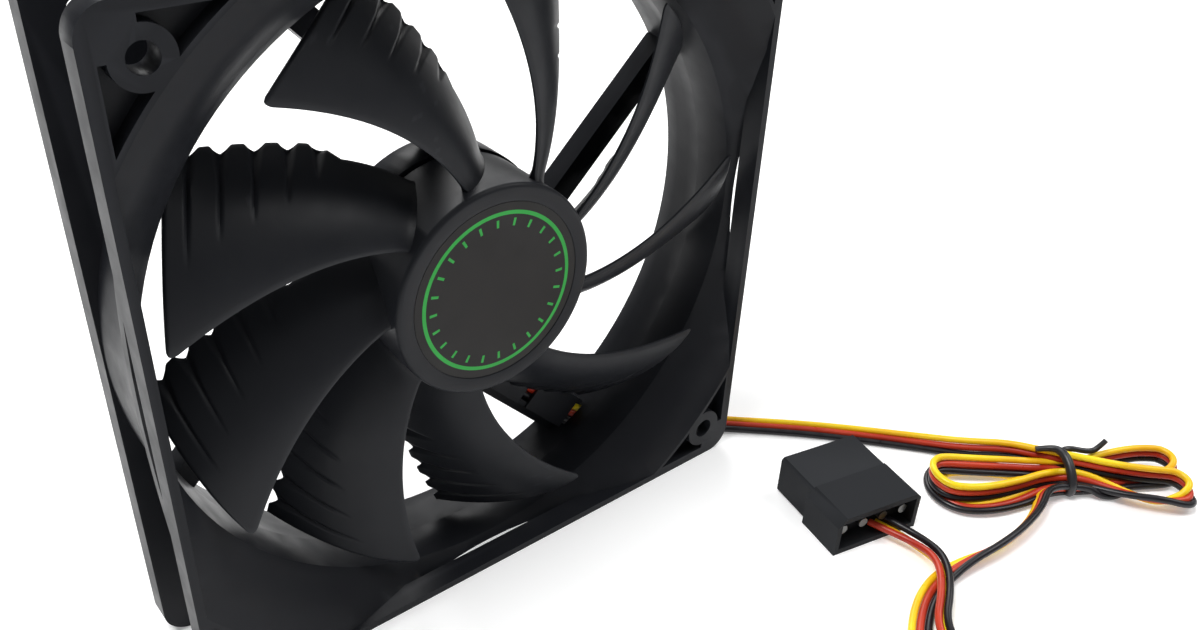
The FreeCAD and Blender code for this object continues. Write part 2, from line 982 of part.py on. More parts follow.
# The lead: a flat ribbon of three wires. Each route point is x, y, z and the ribbon's roll in
# degrees: 0 lies flat, 90 stands on edge with the first wire on top. The last point of one
# stretch is the first of the next. LEAD_START and LEAD_OUT are places along the strut: where
# the wires meet the board, and where they leave the channel outside the duct.

WIRES = {"yellow": 1, "red": 0, "black": -1}
FLOOR = 0.78
LEAD_START = 3.0
LEAD_OUT = 61.0
CORNER_ROUTE = [
    (45.0, 3.6, 3.1, 62),
    (52.4, 0.0, 2.2, 32),
    (58.2, -4.1, 1.25, 10),
]
RUN_ROUTE = [
    (58.2, -4.1, 1.25, 10),
    (65.0, -9.6, FLOOR, 0),
    (79.0, -21.4, FLOOR, 0),
    (95.0, -38.1, 1.0, 8),
    (106.5, -54.0, 2.45, 70),
    (109.6, -62.2, 2.45, 90),
]
TAIL_ROUTE = [
    (106.8, -69.0, 2.45, 90),
    (97.6, -70.8, 2.45, 88),
    (86.0, -71.3, 2.1, 55),
    (74.5, -70.0, 1.3, 20),
    (63.5, -69.6, FLOOR, 0),
    (54.5, -71.4, FLOOR, 0),
    (46.4, -75.3, FLOOR, 0),
    (38.8, -81.2, FLOOR, 0),
    (34.6, -90.0, FLOOR, 0),
    (37.6, -99.4, FLOOR, 0),
    (47.2, -99.6, FLOOR, 0),
    (50.6, -89.6, 1.3, 0),
    (52.4, -79.4, 2.3, 0),
    (57.6, -72.9, 2.6, 0),
    (62.4, -66.6, 2.8, 0),
    (64.4, -60.4, 3.6, 0),
    (64.2, -53.4, 4.4, 0),
]


def channel_point(along_distance, side=0):
    """A place in the strut's channel, side wires off its middle, in the fan's own frame."""
    foot, along, across = strut_frame(LEAD_STRUT)
    middle = foot + across * (size("channel_offset") + side * size("wire_pitch"))
    height = size("flange_thickness") + size("wire_diameter") / 2 + 0.03
    return middle + along * along_distance + Vector(0, 0, height)


def wire_points(route, side):
    """One wire's points: the ribbon's, moved sideways by its place in the ribbon."""
    places = [Vector(*point[:3]) for point in route]
    points = []
    for index, place in enumerate(places):
        before = places[max(index - 1, 0)]
        after = places[min(index + 1, len(places) - 1)]
        ahead = (after - before).normalize()
        level = Vector(0, 0, 1).cross(ahead).normalize()
        upright = ahead.cross(level)
        roll = math.radians(route[index][3])
        sideways = level * math.cos(roll) + upright * math.sin(roll)
        points.append(place + sideways * (side * size("wire_pitch")))
    return points


def rounded_path(points):
    """Straight runs joined by tangent arcs, each as large as its two runs allow."""
    edges = []
    start = points[0]
    radii = []
    for before, corner, after in zip(points, points[1:], points[2:]):
        back = (before - corner).normalize()
        ahead = (after - corner).normalize()
        turn = math.pi - back.getAngle(ahead)
        reach = 0.45 * min((before - corner).Length, (after - corner).Length)
        radii.append(reach / math.tan(turn / 2))
        first = corner + back * reach
        last = corner + ahead * reach
        bisector = (back + ahead).normalize()
        centre = corner + bisector * math.hypot(reach, radii[-1])
        middle = centre - bisector * radii[-1]
        edges.append(Part.LineSegment(start, first).toShape())
        edges.append(Part.Arc(first, middle, last).toShape())
        start = last
    edges.append(Part.LineSegment(start, points[-1]).toShape())
    return Part.Wire(edges), radii


def wire_tube(name, points):
    """A round wire along a rounded path, checked against its section times its length."""
    path, radii = rounded_path(points)
    radius = size("wire_diameter") / 2
    section = Part.Wire(Part.makeCircle(radius, points[0], points[1] - points[0]))
    solid = path.makePipeShell([section], True, True)
    expected = math.pi * radius * radius * path.Length
    if abs(solid.Volume / expected - 1) > 0.02:
        raise RuntimeError(f"{name}: volume {solid.Volume:.1f}, expected {expected:.1f}")
    print(
        f"{name}: length {path.Length:.1f}, radii",
        " ".join(f"{value:.1f}" for value in radii),
    )
    tube = doc.addObject("Part::Feature", f"{name}_tube")
    tube.Shape = solid
    return keep(tube, name, Placement())


def lead_wires():
    """Each wire in three lengths: inside the fan, across the floor, and on to the plug."""
    for colour, side in WIRES.items():
        inside = [
            FAN_PLACE.multVec(channel_point(distance, side))
            for distance in (LEAD_START + size("wire_diameter") / 2, LEAD_OUT)
        ]
        inside += wire_points(CORNER_ROUTE + RUN_ROUTE[1:2], side)[:-1]
        run = wire_points(CORNER_ROUTE[-2:] + RUN_ROUTE[1:], side)[1:]
        wire_tube(f"lead_{colour}", inside)
        wire_tube(f"lead_{colour}_run", run)
        wire_tube(f"lead_{colour}_tail", wire_points(TAIL_ROUTE, side))


# The coiled middle of the lead, tied into a flat bow.

HANK_MIDDLE = Vector(110.0, -67.3, 0)
HANK_ANGLE = -36.2
HANK_PLACE = Placement(HANK_MIDDLE, Rotation(Vector(0, 0, 1), HANK_ANGLE))


def bow(height):
    """The hank's outline: two round lobes and a waist, padded to a height."""
    half = size("hank_length") / 2
    lobe = size("hank_width") / 2
    waist = size("hank_waist") / 2
    knee = half - lobe
    edges = []
    for sign in (1, -1):
        edges.append(
            Part.Arc(
                Vector(sign * knee, -sign * lobe, 0),
                Vector(sign * half, 0, 0),
                Vector(sign * knee, sign * lobe, 0),
            ).toShape()
        )
        edges.append(
            Part.Arc(
                Vector(sign * knee, sign * lobe, 0),
                Vector(0, sign * waist, 0),
                Vector(-sign * knee, sign * lobe, 0),
            ).toShape()
        )
    outline = Part.Wire(Part.__sortEdges__(edges))
    return Part.Face(outline).extrude(Vector(0, 0, height))


# Above the floor, and how far the tie pulls the turns in, in height and in width.
HANK_FLOOR = 0.03
TIE_PULL_HEIGHT = 1.6
TIE_PULL_WIDTH = 0.6


def across_waist(length, growth):
    """A block over the hank's waist, as high and wide as the tied turns plus a growth."""
    wide = size("hank_waist") - TIE_PULL_WIDTH + 2 * growth
    tall = size("hank_height") - TIE_PULL_HEIGHT + 2 * growth
    low = HANK_FLOOR + size("tie_thickness") - growth
    return Part.makeBox(length, wide, tall, Vector(-length / 2, -wide / 2, low))


def tie_band():
    """The tie's closed band."""
    thickness = size("tie_thickness")
    return across_waist(size("tie_width"), thickness).cut(across_waist(8.0, 0))


def lead_hank():
    """The turns as one closed solid, grooved where the tie pulls them together."""
    solid = bow(size("hank_height"))
    solid.translate(Vector(0, 0, HANK_FLOOR))
    hank = doc.addObject("Part::Feature", "hank_solid")
    hank.Shape = solid.cut(tie_band())
    return keep(hank, "lead_hank", HANK_PLACE)


# The tie's two ends: points from the far edge of the waist's top, along, across and up.
TIE_ENDS = (
    ((0, -1.9, -0.1), (-1.4, 1.0, 1.3), (-4.6, 1.7, 1.6)),
    ((0, -1.9, -0.1), (1.6, 1.4, 1.3), (6.6, 1.9, 1.2), (8.8, 2.6, 4.0)),
)
TIE_END_RADIUS = 0.6


def twist_tie():
    """A flat wire tie round the hank's waist, with its two ends twisted up."""
    shape = tie_band()
    corner = Vector(0, size("hank_waist") / 2, HANK_FLOOR + size("hank_height"))
    for route in TIE_ENDS:
        points = [corner + Vector(*point) for point in route]
        for start, end in zip(points, points[1:]):
            length = (end - start).Length
            shape = shape.fuse(Part.makeCylinder(TIE_END_RADIUS, length, start, end - start))
            shape = shape.fuse(Part.makeSphere(TIE_END_RADIUS, end))
    tie = doc.addObject("Part::Feature", "tie_solid")
    tie.Shape = shape.removeSplitter()
    return keep(tie, "twist_tie", HANK_PLACE)


# The plug: its own Y points to the mating end, its own X across the four ways.

PLUG_PLACE = Placement(Vector(62.4, -53.8, 0.0), Rotation(Vector(0, 0, 1), -12.3))
WAYS = 4


def plug_rods(name, radius, length, start):
    """One rod in each of the plug's ways, from a distance behind the wire end."""
    along_y = Rotation(Vector(1, 0, 0), -90)
    rods = []
    for number in range(WAYS):
        middle = evaluated(f"( {number} - {(WAYS - 1) / 2} ) * plug_pitch")
        place = Vector(middle, evaluated(start), evaluated("plug_height / 2"))
        rods.append(rod(f"{name}_{number}", radius, length, place, along_y))
    return rods


def plug_chamfers():
    """Cutters for the two long top edges, wider along the keyed side."""
    cutters = []
    for number, (side, depth) in enumerate(((-1, "2.8"), (1, "1.6"))):
        cutter = doc.addObject("Part::Box", f"plug_key_{number}")
        bind(cutter, Length=depth, Height=depth, Width=sized("plug_length"))
        corner = Vector(side * evaluated("plug_width / 2"), 0, evaluated("plug_height"))
        turn = Rotation(Vector(0, 1, 0), 45)
        half = evaluated(depth) / 2
        cutter.Placement = Placement(corner + turn.multVec(Vector(-half, 0, -half)), turn)
        cutters.append(cutter)
    return cutters


def plug_parts():
    half_length = "plug_length / 2"
    wide = box(
        "plug_wide", "plug_width", half_length, "plug_height", "0 - plug_width / 2", "0", "0"
    )
    neck = box(
        "plug_neck",
        "plug_neck_width",
        half_length,
        "plug_height - 0.6",
        "0 - plug_neck_width / 2",
        half_length,
        "0.3",
    )
    cavity = box(
        "plug_cavity",
        "plug_width - 2 * plug_wall",
        "plug_cavity_depth",
        "plug_height - 2 * plug_wall - 0.4",
        "plug_wall - plug_width / 2",
        "0",
        "plug_wall + 0.2",
    )
    bore = "plug_pin_radius + 0.15"
    tools = [cavity] + plug_chamfers()
    tools += plug_rods("way", bore, "plug_length - 5", "5")
    tools += plug_rods("seat", "plug_pin_radius", "3", "3")
    body = fuse("plug_body", [wide, neck])
    keep(
        cut("plug_housing", body, fuse("plug_tools", tools)), "connector_housing", PLUG_PLACE
    )
    contacts = plug_rods("contact", "plug_pin_radius", "contact_length", "1.6")
    grouped("connector_contacts", contacts, PLUG_PLACE)


def check_and_write():
    """Stop at the first object that failed, then write one file for each sub-part."""
    doc.recompute()
    for obj in doc.Objects:
        if "Invalid" in obj.State or "Error" in obj.State:
            raise RuntimeError(f"{obj.Name} failed: {obj.State}")
    for piece in pieces:
        shape = piece.Shape
        if shape.isNull() or not shape.isValid() or shape.Volume <= 0:
            raise RuntimeError(f"{piece.Label} has no sound shape")
        shape.exportStep(f"parts/{piece.Label}.step")
        print(f"{piece.Label}: {shape.Volume:.1f} mm3, {len(shape.Solids)} solids")


fan_frame()
impeller()
rotor_parts()
bearing_parts()
stator_parts()
board_parts()
lead_wires()
lead_hank()
twist_tie()
plug_parts()
check_and_write()
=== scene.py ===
"""A 120 mm case fan standing on a white table, with its lead tied in a hank.

Lengths in the tables are millimetres in the frame of the CAD model: X to the right and Z up when
the intake face is looked at, Y the way the air leaves. Blender's own lengths are metres.
"""

import math

import bpy
from mathutils import Matrix, Vector


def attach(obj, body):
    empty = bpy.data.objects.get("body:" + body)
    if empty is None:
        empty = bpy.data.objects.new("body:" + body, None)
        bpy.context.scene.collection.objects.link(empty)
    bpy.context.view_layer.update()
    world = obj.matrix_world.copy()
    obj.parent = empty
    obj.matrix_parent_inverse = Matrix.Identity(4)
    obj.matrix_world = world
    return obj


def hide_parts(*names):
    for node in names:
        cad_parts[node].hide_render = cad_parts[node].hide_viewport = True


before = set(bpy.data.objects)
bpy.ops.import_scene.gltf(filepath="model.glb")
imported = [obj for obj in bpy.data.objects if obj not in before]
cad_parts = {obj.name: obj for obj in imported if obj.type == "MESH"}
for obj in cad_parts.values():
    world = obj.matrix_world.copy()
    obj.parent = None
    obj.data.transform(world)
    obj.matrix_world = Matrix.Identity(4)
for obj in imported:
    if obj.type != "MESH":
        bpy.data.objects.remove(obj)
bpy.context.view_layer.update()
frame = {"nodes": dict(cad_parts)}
MM = 0.001
OUTLET_Y = 12.5
AXIS_HEIGHT = 60.0


# Camera, floor and light.


def add_camera():
    data = bpy.data.cameras.new("camera")
    data.sensor_width = 36.0
    data.lens = 33.735
    data.shift_x = -0.0027
    data.shift_y = 0.0032
    data.clip_start = 0.005
    camera = bpy.data.objects.new("camera", data)
    camera.location = (-0.09388, -0.14370, 0.16105)
    camera.rotation_euler = [math.radians(angle) for angle in (57.046, -2.615, -39.633)]
    bpy.context.scene.collection.objects.link(camera)
    bpy.context.scene.camera = camera


def add_light(name, place, target, size, watts):
    data = bpy.data.lights.new(name, "AREA")
    data.shape = "SQUARE"
    data.size = size
    data.energy = watts
    light = bpy.data.objects.new(name, data)
    light.location = place
    aim = Vector(target) - Vector(place)
    light.rotation_euler = aim.to_track_quat("-Z", "Y").to_euler()
    bpy.context.scene.collection.objects.link(light)


def add_studio():
    world = bpy.data.worlds.new("studio")
    world.use_nodes = True
    world.node_tree.nodes["Background"].inputs["Color"].default_value = (1, 1, 1, 1)
    world.node_tree.nodes["Background"].inputs["Strength"].default_value = 0.24
    bpy.context.scene.world = world
    bpy.context.scene.view_settings.view_transform = "Standard"
    middle = (0.0, 0.0, 0.05)
    add_light("key", (-0.45, 0.10, 1.3), middle, 0.5, 15.0)
    add_light("fill", (0.9, -0.4, 1.2), middle, 0.8, 9.0)
    add_light("back", (0.5, 1.0, 0.9), middle, 0.8, 9.0)
    reach = 4.0
    corners = [(-reach, -reach, 0), (reach, -reach, 0), (reach, reach, 0), (-reach, reach, 0)]
    floor = new_object("floor", corners, [(0, 1, 2, 3)])
    paint(floor, floor_material())


# Materials: every one has colour variation and roughness variation, and all but the table's have
# relief.


class Nodes:
    """A short way to write down a material's nodes."""

    def __init__(self, name):
        self.material = bpy.data.materials.new(name)
        self.material.use_nodes = True
        self.tree = self.material.node_tree
        self.shader = self.tree.nodes["Principled BSDF"]
        self.place = self.add("ShaderNodeTexCoord").outputs["Object"]

    def add(self, kind, **inputs):
        node = self.tree.nodes.new(kind)
        for name, value in inputs.items():
            self.feed(node, name.replace("_", " "), value)
        return node

    def feed(self, node, name, value):
        socket = node.inputs[name]
        if isinstance(value, bpy.types.NodeSocket):
            self.tree.links.new(value, socket)
        else:
            socket.default_value = value

    def noise(self, scale, detail=4.0, stretch=None):
        where = self.place
        if stretch:
            where = self.add("ShaderNodeMapping", Vector=where, Scale=stretch).outputs[0]
        node = self.add("ShaderNodeTexNoise", Vector=where, Scale=scale, Detail=detail)
        return node.outputs["Fac"]

    def ramp(self, factor, low, high):
        """Between two values or colours as factor goes from its low to its high."""
        node = self.add("ShaderNodeMapRange", Value=factor, From_Min=0.32, From_Max=0.68)
        node.inputs["To Min"].default_value = low
        node.inputs["To Max"].default_value = high
        return node.outputs[0]

    def mix(self, factor, first, second):
        node = self.tree.nodes.new("ShaderNodeMix")
        node.data_type = "RGBA"
        self.feed(node, 0, factor)
        for index, value in ((6, first), (7, second)):
            if isinstance(value, bpy.types.NodeSocket):
                self.tree.links.new(value, node.inputs[index])
            else:
                node.inputs[index].default_value = (*value, 1.0)
        return node.outputs[2]

    def compute(self, operation, first, second=0.0):
        node = self.tree.nodes.new("ShaderNodeMath")
        node.operation = operation
        for index, value in enumerate((first, second)):
            self.feed(node, index, value)
        return node.outputs[0]

    def between(self, value, low, high):
        """1 where a value lies between two limits, and 0 elsewhere."""
        above = self.compute("GREATER_THAN", value, low)
        return self.compute("MULTIPLY", above, self.compute("LESS_THAN", value, high))

    def edges(self):
        """0 on flat surfaces and 1 along sharp outside edges."""
        point = self.add("ShaderNodeNewGeometry").outputs["Pointiness"]
        node = self.add("ShaderNodeMapRange", Value=point, From_Min=0.52, From_Max=0.62)
        return node.outputs[0]

    def relief(self, height, strength, depth, below=None):
        """A bumped normal, on top of the normal below if there is one."""
        node = self.add("ShaderNodeBump", Height=height, Strength=strength, Distance=depth)
        if below is not None:
            self.tree.links.new(below, node.inputs["Normal"])
        return node.outputs[0]

    def finish(self, colour, roughness, normal=None, **constants):
        self.feed(self.shader, "Base Color", colour)
        self.feed(self.shader, "Roughness", roughness)
        if normal is not None:
            self.feed(self.shader, "Normal", normal)
        for name, value in constants.items():
            self.shader.inputs[name.replace("_", " ")].default_value = value
        return self.material


def floor_material():
    """A white table with a faint glow, so that it stays white round the dark fan."""
    nodes = Nodes("white_table")
    cloudy = nodes.noise(3.0, 2.0)
    colour = nodes.mix(cloudy, (0.93, 0.93, 0.93), (0.96, 0.96, 0.96))
    return nodes.finish(
        colour,
        nodes.ramp(cloudy, 0.6, 0.7),
        IOR=1.3,
        Emission_Color=(1.0, 1.0, 1.0, 1.0),
        Emission_Strength=0.22,
    )


def plastic(name, colour, roughness, lighter=1.35, grain=0.25, **constants):
    """Moulded plastic: flow marks, a fine texture from the tool, and paler sharp edges that are
    partly rubbed wear and partly a painted edge highlight.
    """
    nodes = Nodes(name)
    flow = nodes.noise(38.0, 5.0, (1.0, 1.0, 2.2))
    pale = tuple(min(1.0, value * lighter) for value in colour)
    worn_and_highlit = tuple(min(1.0, value * lighter * 1.5 + 0.006) for value in colour)
    tone = nodes.mix(flow, colour, pale)
    # Sharp edges get a paler colour: partly rubbed wear, partly a painted highlight along the
    # edges.
    tone = nodes.mix(nodes.compute("MULTIPLY", nodes.edges(), 0.5), tone, worn_and_highlit)
    rough = nodes.ramp(nodes.noise(160.0, 3.0), roughness - 0.05, roughness + 0.06)
    coarse = nodes.relief(nodes.noise(260.0, 2.0), 0.1, 0.0003)
    fine = nodes.relief(nodes.noise(3800.0, 2.0), grain, 0.00003, coarse)
    return nodes.finish(tone, rough, fine, **constants)


def metal(name, colour, roughness, stretch=(1.0, 12.0, 1.0)):
    """Drawn or turned metal: streaks along one way, small scratches and duller patches."""
    nodes = Nodes(name)
    streaks = nodes.noise(420.0, 5.0, stretch)
    dull = tuple(value * 0.72 for value in colour)
    tone = nodes.mix(streaks, dull, colour)
    rough = nodes.ramp(nodes.noise(190.0, 4.0), roughness, roughness + 0.15)
    return nodes.finish(tone, rough, nodes.relief(streaks, 0.12, 0.00005), Metallic=1.0)


def wire_insulation(name, colour, deep):
    """Soft glossy PVC, with random patches of a painted darker shade of its colour along its
    length, and dulled where it was handled.
    """
    nodes = Nodes(name)
    patches = nodes.noise(70.0, 4.0)
    # Random patches mix in the darker colour, a painted shade of the wire's own colour.
    tone = nodes.mix(nodes.ramp(patches, 0.0, 1.0), deep, colour)
    rough = nodes.ramp(nodes.noise(350.0, 3.0), 0.26, 0.44)
    return nodes.finish(
        tone,
        rough,
        nodes.relief(nodes.noise(900.0, 2.0), 0.12, 0.00005),
        Coat_Weight=0.08,
        Coat_Roughness=0.2,
        IOR=1.38,
    )


LABEL_BLACK = (0.0125, 0.0117, 0.0117)
RING_RADII = (14.4, 15.1)
TICK_RADII = (12.3, 13.7)
TICKS = 24


def label_print(nodes):
    """1 on a plain ring and on the small even ticks inside it, round the fan's axis."""
    split = nodes.add("ShaderNodeSeparateXYZ", Vector=nodes.place)
    side = split.outputs["X"]
    up = nodes.compute("SUBTRACT", split.outputs["Z"], AXIS_HEIGHT * MM)
    side_squared = nodes.compute("MULTIPLY", side, side)
    up_squared = nodes.compute("MULTIPLY", up, up)
    radius = nodes.compute("SQRT", nodes.compute("ADD", side_squared, up_squared))
    turn = nodes.compute("ARCTAN2", up, side)
    wave = nodes.compute("COSINE", nodes.compute("MULTIPLY", turn, TICKS))
    ring = nodes.between(radius, RING_RADII[0] * MM, RING_RADII[1] * MM)
    band = nodes.between(radius, TICK_RADII[0] * MM, TICK_RADII[1] * MM)
    ticks = nodes.compute("MULTIPLY", band, nodes.compute("GREATER_THAN", wave, 0.90))
    return nodes.compute("MAXIMUM", ring, ticks)


def label_material(name, printed):
    """Black film, with a green ring and ticks if it is printed."""
    nodes = Nodes(name)
    cloudy = nodes.noise(60.0, 4.0)
    tone = nodes.mix(cloudy, tuple(value * 0.8 for value in LABEL_BLACK), LABEL_BLACK)
    if printed:
        green = nodes.mix(cloudy, (0.02, 0.30, 0.045), (0.035, 0.42, 0.07))
        tone = nodes.mix(label_print(nodes), tone, green)
    rough = nodes.ramp(nodes.noise(220.0, 3.0), 0.34, 0.46)
    relief = nodes.relief(nodes.noise(2600.0, 2.0), 0.12, 0.00003)
    return nodes.finish(tone, rough, relief, IOR=1.3)


# Mesh helpers.


def new_object(name, points, faces):
    mesh = bpy.data.meshes.new(name)
    mesh.from_pydata(points, [], faces)
    mesh.validate()
    mesh.update()
    made = bpy.data.objects.new(name, mesh)
    bpy.context.scene.collection.objects.link(made)
    return made


def paint(piece, material):
    piece.data.materials.clear()
    piece.data.materials.append(material)


def smooth(piece, angle):
    """Smooth shading, apart from edges sharper than an angle."""
    mesh = piece.data
    mesh.polygons.foreach_set("use_smooth", [True] * len(mesh.polygons))
    mesh.set_sharp_from_angle(angle=math.radians(angle))


def lathe(profile, segments):
    """Points and faces of a closed outline of radii and heights, turned about the axis."""
    points = []
    faces = []
    count = len(profile)
    for step in range(segments):
        angle = 2 * math.pi * step / segments
        for radius, height in profile:
            points.append(Vector((radius * math.cos(angle), radius * math.sin(angle), height)))
    for step in range(segments):
        here = step * count
        there = (step + 1) % segments * count
        for index in range(count):
            after = (index + 1) % count
            faces.append((here + index, there + index, there + after, here + after))
    return points, faces


def mesh_of(line):
    """The surface of a curve, as a mesh."""
    bpy.context.view_layer.update()
    shown = line.evaluated_get(bpy.context.evaluated_depsgraph_get())
    return bpy.data.meshes.new_from_object(shown)


# A fan part's own Z is the height above the outlet face, and its own Y points up.
FAN_PLACE = Matrix.Translation((0, OUTLET_Y, AXIS_HEIGHT)) @ Matrix.Rotation(
    math.radians(90), 4, "X"
)


def in_fan(points):
    return [FAN_PLACE @ point * MM for point in points]


# The impeller: the blades repeat the CAD's, with rounded bumps along the trailing edge and a
# groove that runs forwards from each valley.

BLADES = 9
HUB_RADIUS = 19.8
HUB_REAR = 7.0
HUB_FACE = 22.2
HUB_ROUNDING = 0.85
CUP_RADIUS = 18.2
CUP_FLOOR = 20.4
RECESS_RADIUS = 16.7
RECESS_FLOOR = 21.95
ROOT_RADIUS = 19.0
TIP_RADIUS = 56.3
# Along the trailing edge: the valleys' radii, depths and width, and how far forwards and how deep
# their grooves go. The bumps stand BUMP behind the CAD's edge and start over BUMP_RUN_IN.
VALLEYS = (35.8, 40.0, 44.5, 49.0, 53.2)
VALLEY_DEPTHS = (0.8, 1.0, 1.1, 1.15, 1.15)
VALLEY_WIDTH = 2.9
GROOVES = (4.5, 8.0, 10.0, 12.0, 15.0)
GROOVE_DEPTH = 0.62
BUMP = 1.9
BUMP_RUN_IN = 3.5
CORNER_RADIUS = 1.8
SPAN_STEPS = 168
CHORD_STEPS = 44


def blade_point(chord, radius):
    span = (radius - HUB_RADIUS) / (TIP_RADIUS - HUB_RADIUS)
    leading = 103.0 + 33.5 * span - 4.5 * span * span
    trailing = 75.0 + 46.0 * span - 14.0 * span * span
    angle = math.radians(leading + (trailing - leading) * chord)
    camber = 0.25 * chord + 0.75 * chord * chord
    height = 19.9 + 1.8 * span + (-10.3 - 3.5 * span) * camber
    return Vector((radius * math.cos(angle), radius * math.sin(angle), height))


def blade_normal(chord, radius):
    step = 0.01
    chordwise = blade_point(chord + step, radius) - blade_point(chord - step, radius)
    spanwise = blade_point(chord, radius + step) - blade_point(chord, radius - step)
    normal = chordwise.cross(spanwise).normalized()
    return normal if normal.z < 0 else -normal


def blade_thickness(chord, radius):
    span = (radius - HUB_RADIUS) / (TIP_RADIUS - HUB_RADIUS)
    return (1.9 - 0.6 * span) * (0.5 + 2.0 * chord * (1.0 - chord))


def hollow(distance):
    """1 in the middle of a valley, falling to 0 at its edges, with rounded shoulders."""
    share = min(1.0, abs(distance) / (VALLEY_WIDTH / 2))
    return (1.0 - share) * (1.0 + 0.8 * share) * (1.0 - 0.35 * share)


def row_ends(radius, length):
    """Chords where a row of points starts, at a rounded corner, and ends, on the bumpy edge."""
    first = 0.0
    past_corner = radius - (TIP_RADIUS - CORNER_RADIUS)
    if past_corner > 0:
        rise = math.sqrt(max(0.0, CORNER_RADIUS**2 - past_corner**2))
        first = (CORNER_RADIUS - rise) / length
    run_in = min(1.0, max(0.0, (radius - VALLEYS[0] + BUMP_RUN_IN) / BUMP_RUN_IN))
    bump = BUMP * run_in
    for valley, depth in zip(VALLEYS, VALLEY_DEPTHS):
        bump -= depth * hollow(radius - valley)
    return first, 1.0 + bump / length


def groove_depth(radius, behind):
    """How far the grooves sink the front skin, at a distance from the trailing edge."""
    depth = 0.0
    for valley, reach in zip(VALLEYS, GROOVES):
        if behind < reach:
            fade = (1.0 - behind / reach) ** 0.7
            half_width = 0.45 + 0.75 * max(0.0, 1.0 - behind / 4.0)
            slope = max(0.0, 1.0 - abs(radius - valley) / half_width) ** 1.1
            depth += GROOVE_DEPTH * fade * slope
    return depth


def blade_row(radius):
    """Points round the blade at one radius: along its front skin and back along its rear one."""
    length = (blade_point(1.0, radius) - blade_point(0.0, radius)).length
    first, last = row_ends(radius, length)
    fillet = 0.7 * math.exp(-max(0.0, radius - HUB_RADIUS) / 0.7)
    tip_rounding = max(0.0, 1.0 - (TIP_RADIUS - radius) / 0.3)
    front = []
    back = []
    for column in range(CHORD_STEPS + 1):
        chord = first + (last - first) * (1.0 - (1.0 - column / CHORD_STEPS) ** 1.5)
        behind = (last - chord) * length
        ahead = (chord - first) * length
        thick = blade_thickness(min(chord, 1.0), radius)
        thick *= math.sqrt(min(1.0, (behind + 0.02) / 0.5)) * 0.75 + 0.25
        edge_rounding = 1.0 - math.sqrt(min(1.0, (min(ahead, behind) + 0.01) / 0.35))
        inset = 0.3 * thick * max(edge_rounding, tip_rounding)
        sunk = min(groove_depth(radius, behind), 0.7 * thick)
        point = blade_point(chord, radius)
        normal = blade_normal(chord, radius)
        front.append(point + normal * (inset + sunk - fillet * 0.6))
        back.append(point + normal * (thick - inset + fillet * 0.6))
    return front + back[::-1]


def blade_mesh():
    """One blade: rows of points from the hub to the tip, closed at both ends."""
    points = []
    faces = []
    around = 2 * (CHORD_STEPS + 1)
    for row in range(SPAN_STEPS + 1):
        points += blade_row(ROOT_RADIUS + (TIP_RADIUS - ROOT_RADIUS) * row / SPAN_STEPS)
    for row in range(SPAN_STEPS):
        here = row * around
        there = here + around
        for index in range(around):
            after = (index + 1) % around
            faces.append((here + index, here + after, there + after, there + index))
    faces.append(tuple(range(around))[::-1])
    top = SPAN_STEPS * around
    for column in range(CHORD_STEPS):
        other = around - 1 - column
        faces.append((top + column, top + column + 1, top + other - 1, top + other))
    return points, faces


def hub_outline():
    """Radii and heights round the cup's wall and face, with the label's recess."""
    outline = [
        (0.01, CUP_FLOOR),
        (CUP_RADIUS - 0.2, CUP_FLOOR),
        (CUP_RADIUS, CUP_FLOOR - 0.2),
        (CUP_RADIUS, HUB_REAR + 0.15),
        (CUP_RADIUS + 0.15, HUB_REAR),
        (HUB_RADIUS - 0.2, HUB_REAR),
        (HUB_RADIUS, HUB_REAR + 0.2),
        # The rounding starts with this point again, so the wall and the rounding are shaded apart.
        (HUB_RADIUS, HUB_FACE - HUB_ROUNDING),
    ]
    for step in range(7):
        angle = math.radians(15 * step)
        radius = HUB_RADIUS - HUB_ROUNDING * (1.0 - math.cos(angle))
        outline.append((radius, HUB_FACE - HUB_ROUNDING * (1.0 - math.sin(angle))))
    return outline + [
        (RECESS_RADIUS + 0.15, HUB_FACE),
        (RECESS_RADIUS + 0.02, HUB_FACE - 0.1),
        (RECESS_RADIUS, RECESS_FLOOR),
        (0.01, RECESS_FLOOR),
    ]


def add_impeller():
    points, faces = lathe(hub_outline(), 160)
    blade_points, blade_faces = blade_mesh()
    for number in range(BLADES):
        turn = Matrix.Rotation(2 * math.pi * number / BLADES, 3, "Z")
        first = len(points)
        points += [turn @ point for point in blade_points]
        faces += [tuple(first + index for index in face) for face in blade_faces]
    impeller = new_object("impeller_moulding", in_fan(points), faces)
    smooth(impeller, 40.0)
    paint(impeller, plastic("impeller_plastic", (0.0105, 0.0114, 0.0140), 0.42, IOR=1.28))
    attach(impeller, "rotor")
    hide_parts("impeller")


# The lead: a ribbon of three wires, which goes to the hank, through its lobes and on towards the
# plug. A route point is x, y, z and the ribbon's roll in degrees: 0 lies flat with the yellow wire
# on the left of the way it goes, 90 stands on edge with yellow on top, 270 with black on top.

WIRES = {"yellow": 1, "red": 0, "black": -1}
WIRE_DIAMETER = 1.5
WIRE_PITCH = 1.55
FLOOR = 0.78
RUN_ROUTE = [
    (58.2, -4.1, 1.25, 10),
    (65.0, -9.6, 0.9, 5),
    (79.0, -22.4, 1.0, 14),
    (93.9, -39.6, 1.4, 34),
    (100.2, -48.4, 2.4, 58),
    (106.0, -55.4, 3.9, 76),
    (109.2, -61.4, 4.5, 85),
]
TAIL_ROUTE = [
    (102.6, -67.4, 2.7, 236),
    (95.5, -70.6, 2.5, 249),
    (86.8, -71.8, 2.45, 249),
    (78.6, -71.6, 2.4, 245),
    (71.4, -69.9, 1.9, 222),
    (64.6, -69.2, 1.1, 192),
    (58.6, -70.2, 0.95, 186),
    (53.0, -72.6, FLOOR, 180),
    (47.2, -76.4, FLOOR, 180),
    (40.4, -82.0, FLOOR, 180),
    (35.4, -90.0, FLOOR, 180),
    (38.0, -98.6, FLOOR, 180),
    (46.8, -98.8, FLOOR, 180),
]
